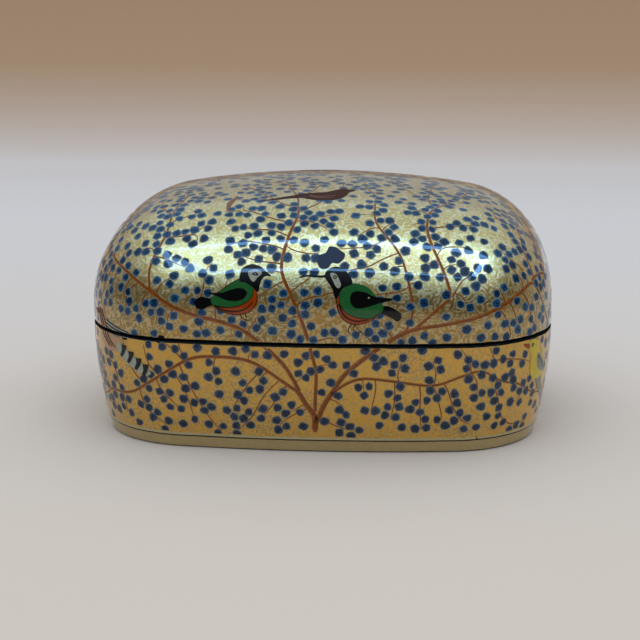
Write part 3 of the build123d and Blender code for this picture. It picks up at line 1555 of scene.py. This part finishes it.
class Line:
    """A thin stroke of a figure, as wide as given at its start and half that at its end."""

    step = 0.6 * MM
    loss = 0.5  # share of its width lost by its end

    def __init__(self, paint: Paint, width: float, *route: Point) -> None:
        """Keeps the stroke.

        Args:
            paint: Its paint.
            width: Its width in millimetres.
            *route: The points that it passes.
        """
        self.paint = paint
        self.width = width * MM
        self.route = route

    def lay(self, relief: Relief, place: Matrix, height: float, material: int) -> None:
        """Lays the stroke on a relief.

        Args:
            relief: Where it goes.
            place: The figure's plane in the row frame.
            height: Thickness of the paint.
            material: Number of its material.
        """
        route = flowing([place @ Vector((x * MM, y * MM, 0)) for x, y in self.route], self.step)
        last = len(route) - 1
        widths = [self.width * (1 - self.loss * number / last) for number in range(last + 1)]
        relief.stroke([relief.skin.press(spot)[0] for spot in route], widths, height, material)


class Figure:
    """A bird or another motif, drawn in millimetres on its own plane, later shapes over earlier ones."""

    first = 0.10 * MM  # thickness of its first shape
    layer = 0.012 * MM  # gained with each shape after it
    level = 0.35  # slope below which the skin is too level for the vertical to set the figure upright

    def __init__(self, name: str, pixel: Point, *shapes: Area | Line) -> None:
        """Keeps the figure.

        Args:
            name: Its name.
            pixel: Where its origin shows, in the 640 by 640 frame.
            *shapes: What it is made of.
        """
        self.name = name
        self.pixel = pixel
        self.shapes = shapes

    def plane(self, skin: Skin, viewpoint: Viewpoint, turned: bool) -> Matrix:
        """Gives the figure's plane, upright on the skin.

        Args:
            skin: What it is painted on.
            viewpoint: The camera that its pixel belongs to.
            turned: Whether this is its copy on the back, half a turn round.

        Returns:
            The matrix from the figure's plane to the row frame.
        """
        spot, normal = skin.press(viewpoint.look(skin, *self.pixel))
        if turned:
            spot, normal = half_turn(spot), half_turn(normal)
        side = Vector((0, 0, 1)).cross(normal)
        if side.length < self.level:
            side = Vector((-1 if turned else 1, 0, 0))
        side = (side - normal * side.dot(normal)).normalized()
        axes = Matrix((side, normal.cross(side), normal)).transposed().to_4x4()
        return Matrix.Translation(spot) @ axes

    def paint(self, relief: Relief, place: Matrix) -> list[Paint]:
        """Paints the figure.

        Args:
            relief: Where its shapes go.
            place: Its plane in the row frame.

        Returns:
            Its paints, in the order of the materials.
        """
        paints = list(dict.fromkeys(shape.paint for shape in self.shapes))
        for number, shape in enumerate(self.shapes):
            shape.lay(relief, place, self.first + number * self.layer, paints.index(shape.paint))
        return paints

    def zones(self, place: Matrix) -> list[Zone]:
        """Gives the round places that dabs keep off."""
        return [shape.zone(place) for shape in self.shapes if isinstance(shape, Area)]


def eye(x: float, y: float) -> tuple[Area, Area]:
    """Draws a bird's eye.

    Args:
        x: Its middle, to the right of the figure's origin.
        y: Its middle, above the origin.

    Returns:
        A dark ring and its pale middle.
    """
    angles = [math.tau * number / 5 for number in range(5)]
    sizes = ((Paint.BLACK, 0.62), (Paint.CHALK, 0.26))
    return tuple(
        Area(paint, *((x + size * math.cos(angle), y + size * math.sin(angle)) for angle in angles))
        for paint, size in sizes
    )


PERCHED_BIRD = Figure(
    "perched_bird",
    (235, 297),
    Line(Paint.BLACK, 0.35, (1.6, -5.0), (2.4, -6.6), (4.2, -7.2), (5.6, -6.4)),
    Line(Paint.BLACK, 0.35, (3.2, -5.0), (3.6, -6.4), (3.0, -8.4), (3.6, -9.4)),
    Area(Paint.BLACK, (-12.9, -2.4), (-12.1, -0.9), (-10.4, -0.3), (-8.6, -0.6), (-6.6, -0.9), (-6.8, -2.6),
         (-8.4, -3.2), (-10.0, -4.1), (-11.8, -4.0)),
    Area(Paint.ORANGE, (-7.2, -1.8), (-4.8, -4.2), (-1.8, -5.2), (1.0, -5.4), (4.3, -4.5), (5.9, -3.1),
         (6.8, -1.0), (6.8, 1.8), (6.2, 3.4), (4.8, 1.2), (3.2, -0.6), (0.6, -2.0), (-2.8, -2.5),
         (-6.2, -2.1)),
    Line(Paint.BROWN, 0.7, (-6.6, -2.8), (-3.6, -4.2), (0.4, -4.5), (3.6, -3.4), (5.6, -1.2)),
    Line(Paint.BLACK, 0.35, (-7.2, -2.0), (-4.8, -4.3), (-1.8, -5.3), (1.0, -5.5), (4.3, -4.6), (6.0, -3.1),
         (6.9, -1.0), (6.9, 1.4)),
    Area(Paint.GREEN, (1.2, 5.6), (-1.8, 3.8), (-4.3, 1.9), (-6.8, 0.1), (-7.6, -1.3), (-6.4, -2.8),
         (-2.8, -3.2), (0.8, -2.7), (3.7, -1.3), (5.2, 0.5), (5.7, 3.0), (4.2, 5.4)),
    Line(Paint.BLACK, 0.3, (-6.4, -2.9), (-2.8, -3.3), (0.8, -2.8), (3.7, -1.4), (5.3, 0.4), (5.8, 2.8)),
    Line(Paint.BLACK, 0.3, (1.0, 5.6), (-1.8, 3.9), (-4.3, 2.0), (-6.6, 0.4)),
    Area(Paint.BLACK, (-8.9, 1.2), (-6.3, 1.0), (-3.8, 1.3), (-0.4, 2.5), (1.9, 2.8), (3.4, 2.1),
         (3.6, 0.8), (2.4, -0.6), (0.4, -1.2), (-2.4, -1.1), (-5.2, -0.1)),
    Area(Paint.BLACK, (1.2, 5.0), (1.3, 7.6), (2.0, 9.4), (4.8, 10.7), (7.8, 9.8), (9.2, 8.5), (11.0, 7.0),
         (9.0, 6.8), (7.7, 4.8), (7.2, 1.8), (5.2, 3.4), (3.0, 4.6)),
    Area(Paint.CHALK, (3.8, 8.2), (5.6, 8.9), (7.6, 8.5), (8.0, 7.5), (6.8, 6.3), (5.7, 4.9), (4.7, 5.6),
         (4.0, 6.9)),
    *eye(6.0, 7.5),
)

CALLING_BIRD = Figure(
    "calling_bird",
    (360, 302),
    Line(Paint.BLACK, 0.75, (-10.2, 8.0), (-13.0, 7.9), (-16.0, 8.2), (-18.8, 7.6)),
    Line(Paint.BLACK, 0.35, (-1.6, -7.0), (-2.0, -8.6), (-0.8, -9.6), (0.8, -9.0)),
    Line(Paint.BLACK, 0.35, (-2.6, -7.0), (-3.6, -8.8), (-2.8, -10.6)),
    Area(Paint.BLACK, (6.6, -1.6), (8.8, -1.3), (12.3, -3.3), (12.6, -5.0), (11.4, -6.1), (9.4, -4.8),
         (6.4, -3.4)),
    Area(Paint.ORANGE, (-7.1, 0.4), (-6.4, -3.3), (-4.3, -6.0), (-1.5, -7.0), (2.0, -6.4), (5.2, -4.6),
         (5.8, -3.3), (3.2, -4.1), (-0.8, -3.9), (-3.8, -2.4), (-5.4, 0.0), (-5.8, 2.6)),
    Line(Paint.BROWN, 0.7, (-6.4, -0.6), (-5.4, -3.4), (-3.6, -5.2), (-1.0, -6.0), (2.4, -5.6)),
    Line(Paint.BLACK, 0.35, (-7.2, 0.4), (-6.5, -3.3), (-4.4, -6.1), (-1.5, -7.1), (2.0, -6.5),
         (5.2, -4.7)),
    Area(Paint.GREEN, (-2.6, 5.8), (1.9, 4.8), (4.7, 2.0), (7.2, -1.7), (6.0, -3.4), (3.4, -5.0),
         (-0.8, -4.8), (-4.3, -3.2), (-6.1, -0.2), (-6.2, 2.5), (-4.8, 4.6)),
    Line(Paint.BLACK, 0.3, (5.8, -3.6), (3.4, -5.1), (-0.8, -4.9), (-4.4, -3.3), (-6.2, -0.2), (-6.3, 2.4)),
    Area(Paint.BLACK, (-2.8, 2.2), (-1.2, 3.3), (1.8, 2.9), (4.6, 1.6), (10.2, 0.9), (5.8, -0.4),
         (2.0, -1.6), (-1.2, -1.9), (-2.9, -0.2)),
    Area(Paint.CHALK, (2.5, 1.5), (2.9, 1.5), (2.9, 1.1), (2.5, 1.1)),
    Area(Paint.BLACK, (-7.4, 0.6), (-8.5, 4.0), (-10.5, 7.1), (-10.9, 8.7), (-9.5, 10.5), (-7.2, 11.3),
         (-4.9, 10.3), (-3.1, 8.0), (-2.4, 5.6), (-5.0, 4.4), (-6.5, 2.4)),
    Area(Paint.CHALK, (-9.2, 8.8), (-7.7, 9.0), (-6.4, 6.9), (-5.9, 4.9), (-7.1, 4.3), (-8.4, 6.7)),
    *eye(-7.7, 7.7),
)

CROWN_BIRD = Figure(
    "long_tailed_bird",
    (325, 194),
    Area(Paint.BROWN, (-6.0, 0.2), (-11.0, -2.2), (-16.5, -4.6), (-21.6, -6.2), (-16.5, -5.8),
         (-11.0, -4.4), (-6.0, -3.6)),
    Area(Paint.BROWN, (-8.2, -1.8), (-5.4, -4.9), (0.0, -6.4), (4.6, -4.9), (6.9, -1.0), (7.7, 2.8),
         (9.6, 5.2), (7.4, 5.7), (5.4, 6.4), (3.2, 4.6), (0.0, 1.8), (-4.6, 0.8)),
    Line(Paint.TAN, 0.6, (-4.8, -2.2), (-1.0, -2.9), (3.4, -1.6)),
    Line(Paint.TAN, 0.35, (-3.4, -3.6), (0.0, -4.2), (3.0, -3.4)),
)

CORNER_BIRD = Figure(
    "barred_tail_bird",
    (112, 336),
    Area(Paint.PEACH, (-10.5, 6.5), (-8.0, 9.2), (-4.8, 9.0), (-3.6, 5.6), (0.4, 2.2), (4.2, -0.2),
         (5.0, -3.0), (1.0, -4.8), (-4.0, -4.4), (-7.6, -1.0), (-8.8, 3.2)),
    Area(Paint.ASH, (-3.8, 5.4), (0.0, 4.2), (5.2, 3.2), (10.0, 2.0), (6.4, 0.6), (1.8, 0.4), (-2.4, 1.8)),
    *(
        Line(
            Paint.CHALK if n % 2 else Paint.BLACK, 0.4,
            (-3.2, 4.9 - 0.55 * n), (2.0, 3.6 - 0.5 * n), (8.6, 2.4 - 0.3 * n),
        )
        for n in range(6)
    ),
    Area(Paint.CHALK, (3.4, -1.2), (7.0, -3.0), (12.0, -6.0), (16.4, -8.6), (17.2, -10.6), (13.4, -10.6),
         (8.0, -8.0), (3.4, -4.6)),
    *(
        Line(Paint.BLACK, 2.1, (x + 0.5, y), (x + 0.4, y - 1.7), (x - 1.0, y - 3.8))
        for x, y in ((5.6, -1.9), (8.7, -3.6), (11.9, -5.5), (15.0, -7.2))
    ),
    *(
        Line(Paint.BROWN, 0.3, (-9.4 + n, 7.8), (-6.8 + n, 3.4), (-5.0 + n, -0.4), (-1.6 + n, -3.4))
        for n in (0.0, 1.6, 3.2)
    ),
    Area(Paint.ORANGE, (-10.6, 7.0), (-13.2, 6.8), (-10.2, 5.6)),
    *eye(-7.8, 7.4),
)

YELLOW_BIRD = Figure(
    "yellow_bird",
    (536, 360),
    Area(Paint.ASH, (3.6, -5.0), (7.0, -9.6), (10.6, -14.0), (8.6, -14.6), (4.6, -11.4), (0.8, -6.4)),
    *(Line(Paint.CHALK, 0.35, (3.0 + n, -6.4), (5.8 + n, -10.2), (8.2 + n * 0.6, -13.4)) for n in (-1, 0, 1)),
    Area(Paint.YELLOW, (-5.4, 5.6), (-2.6, 7.4), (0.6, 6.4), (2.4, 3.0), (5.6, -0.6), (6.4, -4.6),
         (2.6, -6.4), (-1.8, -5.4), (-3.6, -1.4), (-3.4, 2.4)),
    Area(Paint.ASH, (0.4, 2.2), (3.6, 0.8), (7.2, -4.4), (3.8, -4.2), (0.8, -1.8)),
    Line(Paint.BLACK, 0.6, (0.8, 1.4), (3.2, -0.6), (6.4, -3.8)),
    Area(Paint.ORANGE, (-4.6, 6.2), (-7.6, 6.4), (-4.8, 4.6)),
    *eye(-2.8, 5.6),
)

BLOT = Figure(
    "blue_blot",
    (331, 258),
    Area(Paint.BLUE, (-4.2, -1.6), (-3.6, 0.8), (-1.6, 1.8), (-0.6, 3.8), (1.6, 3.6), (3.0, 2.4),
         (4.3, 1.4), (3.8, -0.4), (2.2, -1.8), (0.4, -1.6), (-0.8, -3.2), (-2.8, -3.6)),
)

BUD = Figure(
    "bud",
    (230, 203),
    Area(Paint.TAN, (-0.3, -5.6), (-0.9, -1.0), (0.2, 2.6), (1.9, 6.4), (1.5, 1.6), (0.5, -2.6)),
)

FIGURES = (PERCHED_BIRD, CALLING_BIRD, CROWN_BIRD, CORNER_BIRD, YELLOW_BIRD, BLOT, BUD)


# --- The box ---


@dataclass(frozen=True)
class Shells:
    """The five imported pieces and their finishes."""

    seam: float  # height of the plane between the lid and the body

    def _plan(self) -> dict[str, tuple[ShellGround | PlainCoat, str]]:
        """Chooses the finishes.

        Returns:
            The finish and the record's material slot of each piece.
        """
        lid = ShellGround(
            name="lid_ground",
            seam=self.seam,
            rim_side=-1,
            gold=tone(222, 184, 106),
            line=tone(240, 218, 162),
            edge=tone(158, 126, 66),
            line_strength=0.8,
            fleck=tone(160, 146, 104),
            fleck_strength=0.3,
            metal=0.92,
            # painted shade: the lid's ground darkens on its lower skirt next to the rim
            painted_shade=0.36,
            painted_shade_reach=(10 * MM, 21 * MM),
        )
        body = ShellGround(
            name="body_ground",
            seam=self.seam,
            rim_side=1,
            gold=tone(220, 168, 64),
            line=tone(196, 172, 112),
            edge=tone(160, 124, 60),
            line_strength=0.22,
            fleck=tone(146, 132, 98),
            fleck_strength=0.9,
            metal=0.4,
        )
        board = PlainCoat(
            "board_paint",
            tone(184, 162, 114),
            streaks=0.12,
            line=tone(38, 34, 22),
            # the line at height 0 is the board's dark painted bottom edge and a painted contact shadow along
            # the foot
            line_heights=(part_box("base_board")[1].z, 0.0),
            line_width=0.7 * MM,
            top=tone(22, 21, 20),
        )
        edging_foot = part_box("edging_strip")[0].z
        edging = PlainCoat("edging_paint", tone(182, 168, 126), streaks=0.15, line_heights=(edging_foot,))
        return {
            "lid_shell": (lid, "lid_lacquer"),
            "body_wall": (body, "body_lacquer"),
            "base_board": (board, "board_lacquer"),
            "edging_strip": (edging, "edging_paint"),
            "collar": (PlainCoat("collar_black", tone(24, 23, 22), streaks=0.2), "inside_lacquer"),
        }

    def dress(self, lacquer: Lacquer) -> None:
        """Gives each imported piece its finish.

        Args:
            lacquer: The varnish over them.
        """
        for name, (finish, slot) in self._plan().items():
            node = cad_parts[name]
            node.data.materials.clear()
            node.data.materials.append(finish.make(lacquer))
            LOG.info("%s finished as %s", name, finish.name)


# Places on the front, as columns and rows of the 640 by 640 frame.
FRONT_LIMBS = (
    (
        (315, 432), (315, 403), (316, 372), (310, 350), (305, 330),
        (290, 293), (281, 268), (290, 233), (299, 215),
    ),
    (
        (309, 413), (295, 383), (280, 361), (257, 341), (234, 326),
        (193, 315), (170, 306), (150, 291), (113, 256),
    ),
    (
        (299, 393), (280, 380), (256, 364), (234, 358), (197, 357),
        (179, 364), (153, 380), (131, 392), (113, 388),
    ),
    ((317, 424), (323, 406), (335, 391), (358, 379), (390, 381), (433, 386), (457, 378), (480, 370)),
    ((333, 393), (343, 376), (376, 350), (409, 331), (444, 325), (482, 316), (512, 299), (535, 276)),
    ((416, 329), (432, 314), (452, 297), (463, 278)),
    ((405, 333), (413, 312), (407, 276), (399, 253), (379, 228)),
    ((150, 290), (149, 270), (158, 249), (163, 241)),
    ((452, 297), (443, 270), (431, 244), (426, 226)),
)
WOOD = TwigPaint("twig_paint", tone(126, 68, 24), tone(166, 106, 50))
BLUES = {
    Half.LID: BlossomPaint(
        "lid_blossom_paint", tone(18, 64, 108), tone(38, 92, 138), tone(4, 8, 18), tone(150, 152, 124)
    ),
    Half.BODY: BlossomPaint(
        "body_blossom_paint", tone(36, 58, 90), tone(54, 78, 108), tone(6, 9, 16), tone(158, 146, 108)
    ),
}


@dataclass
class Painting:
    """The flowering trees and the birds, from the front round to the back."""

    skin: Skin
    viewpoint: Viewpoint
    edges: Edges
    lacquer: Lacquer
    seed: int = 27
    bunch_gap: float = 5.4 * MM
    bare_wood: float = 2.5 * MM  # how near the limbs no bunch hangs
    foot_gap: float = 1.2 * MM
    fill_gap: float = 1.9 * MM
    fill_tries: int = 30000
    fill_room: float = 3.9 * MM
    fill_foot_gap: float = 1.0 * MM
    twig_height: float = 0.055 * MM
    limb_load: int = 22  # number of tips past which wood is a limb that dabs keep off
    limb_gap: float = 0.9 * MM
    bunch_reach: int = 10  # points of a twig that its bunch may sit along

    def _limbs(self, grove: Grove) -> None:
        """Plants the front tree, and the back one as its half turn.

        Args:
            grove: Where they grow.
        """
        for turned in (False, True):
            for number, route in enumerate(FRONT_LIMBS):
                spots = [self.viewpoint.look(self.skin, *pixel) for pixel in route]
                grove.limb([half_turn(spot) for spot in spots] if turned else spots, root=number == 0)

    def _figures(self) -> list[Zone]:
        """Paints the birds, each with its copy on the back.

        Returns:
            The places that blossoms keep off, each with its reach.
        """
        materials = {paint: paint.make(self.lacquer) for paint in Paint}
        zones = []
        for figure in FIGURES:
            for end, turned in (("front", False), ("back", True)):
                place = figure.plane(self.skin, self.viewpoint, turned)
                zones += figure.zones(place)
                relief = Relief(self.skin, "stroke")
                paints = figure.paint(relief, place)
                for half in Half:
                    relief.finish(f"{figure.name}_{end}", half, self.edges, [materials[p] for p in paints])
        return zones

    def _twigs(self, grove: Grove, rng: random.Random) -> list[int]:
        """Grows twigs over the whole skin.

        Args:
            grove: The trees, which have only their limbs so far.
            rng: The seeded source of random numbers.

        Returns:
            The numbers of the twigs' tips.
        """
        limbs = grove.wood()
        foot = self.edges.foot + self.foot_gap
        goals = self.skin.scatter(self.bunch_gap, rng)
        goals = [goal for goal in goals if limbs.find(goal)[2] > self.bare_wood and goal.z > foot]
        tips = grove.grow(goals)
        grove.weigh(tips)
        LOG.info("%d goals, %d reached, %d points of wood", len(goals), len(tips), len(grove.spots))
        return tips

    def _blossoms(self, grove: Grove, tips: Iterable[int], zones: list[Zone]) -> Blossoms:
        """Sets a bunch at every tip, and single dabs where there is room left.

        Args:
            grove: The trees.
            tips: The numbers of the twigs' tips.
            zones: The places that blossoms keep off.

        Returns:
            The blossoms.
        """
        keep_off = [
            (spot, self.limb_gap + grove.width(index) / 2)
            for index, spot in enumerate(grove.spots)
            if grove.loads[index] > self.limb_load
        ]
        blossoms = Blossoms(self.skin, grove.rng, self.edges.seam, keep_off + zones)
        for tip in tips:
            way = grove.way(tip)[::-1]
            blossoms.bunch([grove.spots[index] for index in way[: self.bunch_reach]])
        LOG.info("%d dabs on twigs", len(blossoms.centres))
        for spot in self.skin.scatter(self.fill_gap, grove.rng, self.fill_tries):
            if spot.z > self.edges.foot + self.fill_foot_gap:
                blossoms.set(spot, spot.cross(Vector((0, 0, 1))).normalized(), self.fill_room)
        LOG.info("%d dabs", len(blossoms.centres))
        return blossoms

    def build(self) -> None:
        """Paints everything."""
        grove = Grove(self.skin, random.Random(self.seed))
        self._limbs(grove)
        zones = self._figures()
        tips = self._twigs(grove, grove.rng)
        twigs = Relief(self.skin, "stroke")
        grove.paint(twigs, tips, self.twig_height)
        dabs = Relief(self.skin, "dab")
        self._blossoms(grove, tips, zones).paint(dabs)
        wood = WOOD.make(self.lacquer)
        for half, paint in BLUES.items():
            twigs.finish("twigs", half, self.edges, [wood])
            dabs.finish("blossoms", half, self.edges, [paint.make(self.lacquer)])


def main() -> None:
    """Builds the studio, then dresses the box."""
    logging.basicConfig(level=logging.INFO, format="%(name)s: %(message)s")
    Studio().build()
    viewpoint = Viewpoint()
    viewpoint.build()
    seam = (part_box("lid_shell")[0].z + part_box("body_wall")[1].z) / 2
    lacquer = Lacquer(Effects())
    Shells(seam).dress(lacquer)
    skin = Skin([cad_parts["lid_shell"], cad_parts["body_wall"]], seam)
    Painting(skin, viewpoint, Edges(seam), lacquer).build()


if __name__ == "__main__":
    main()
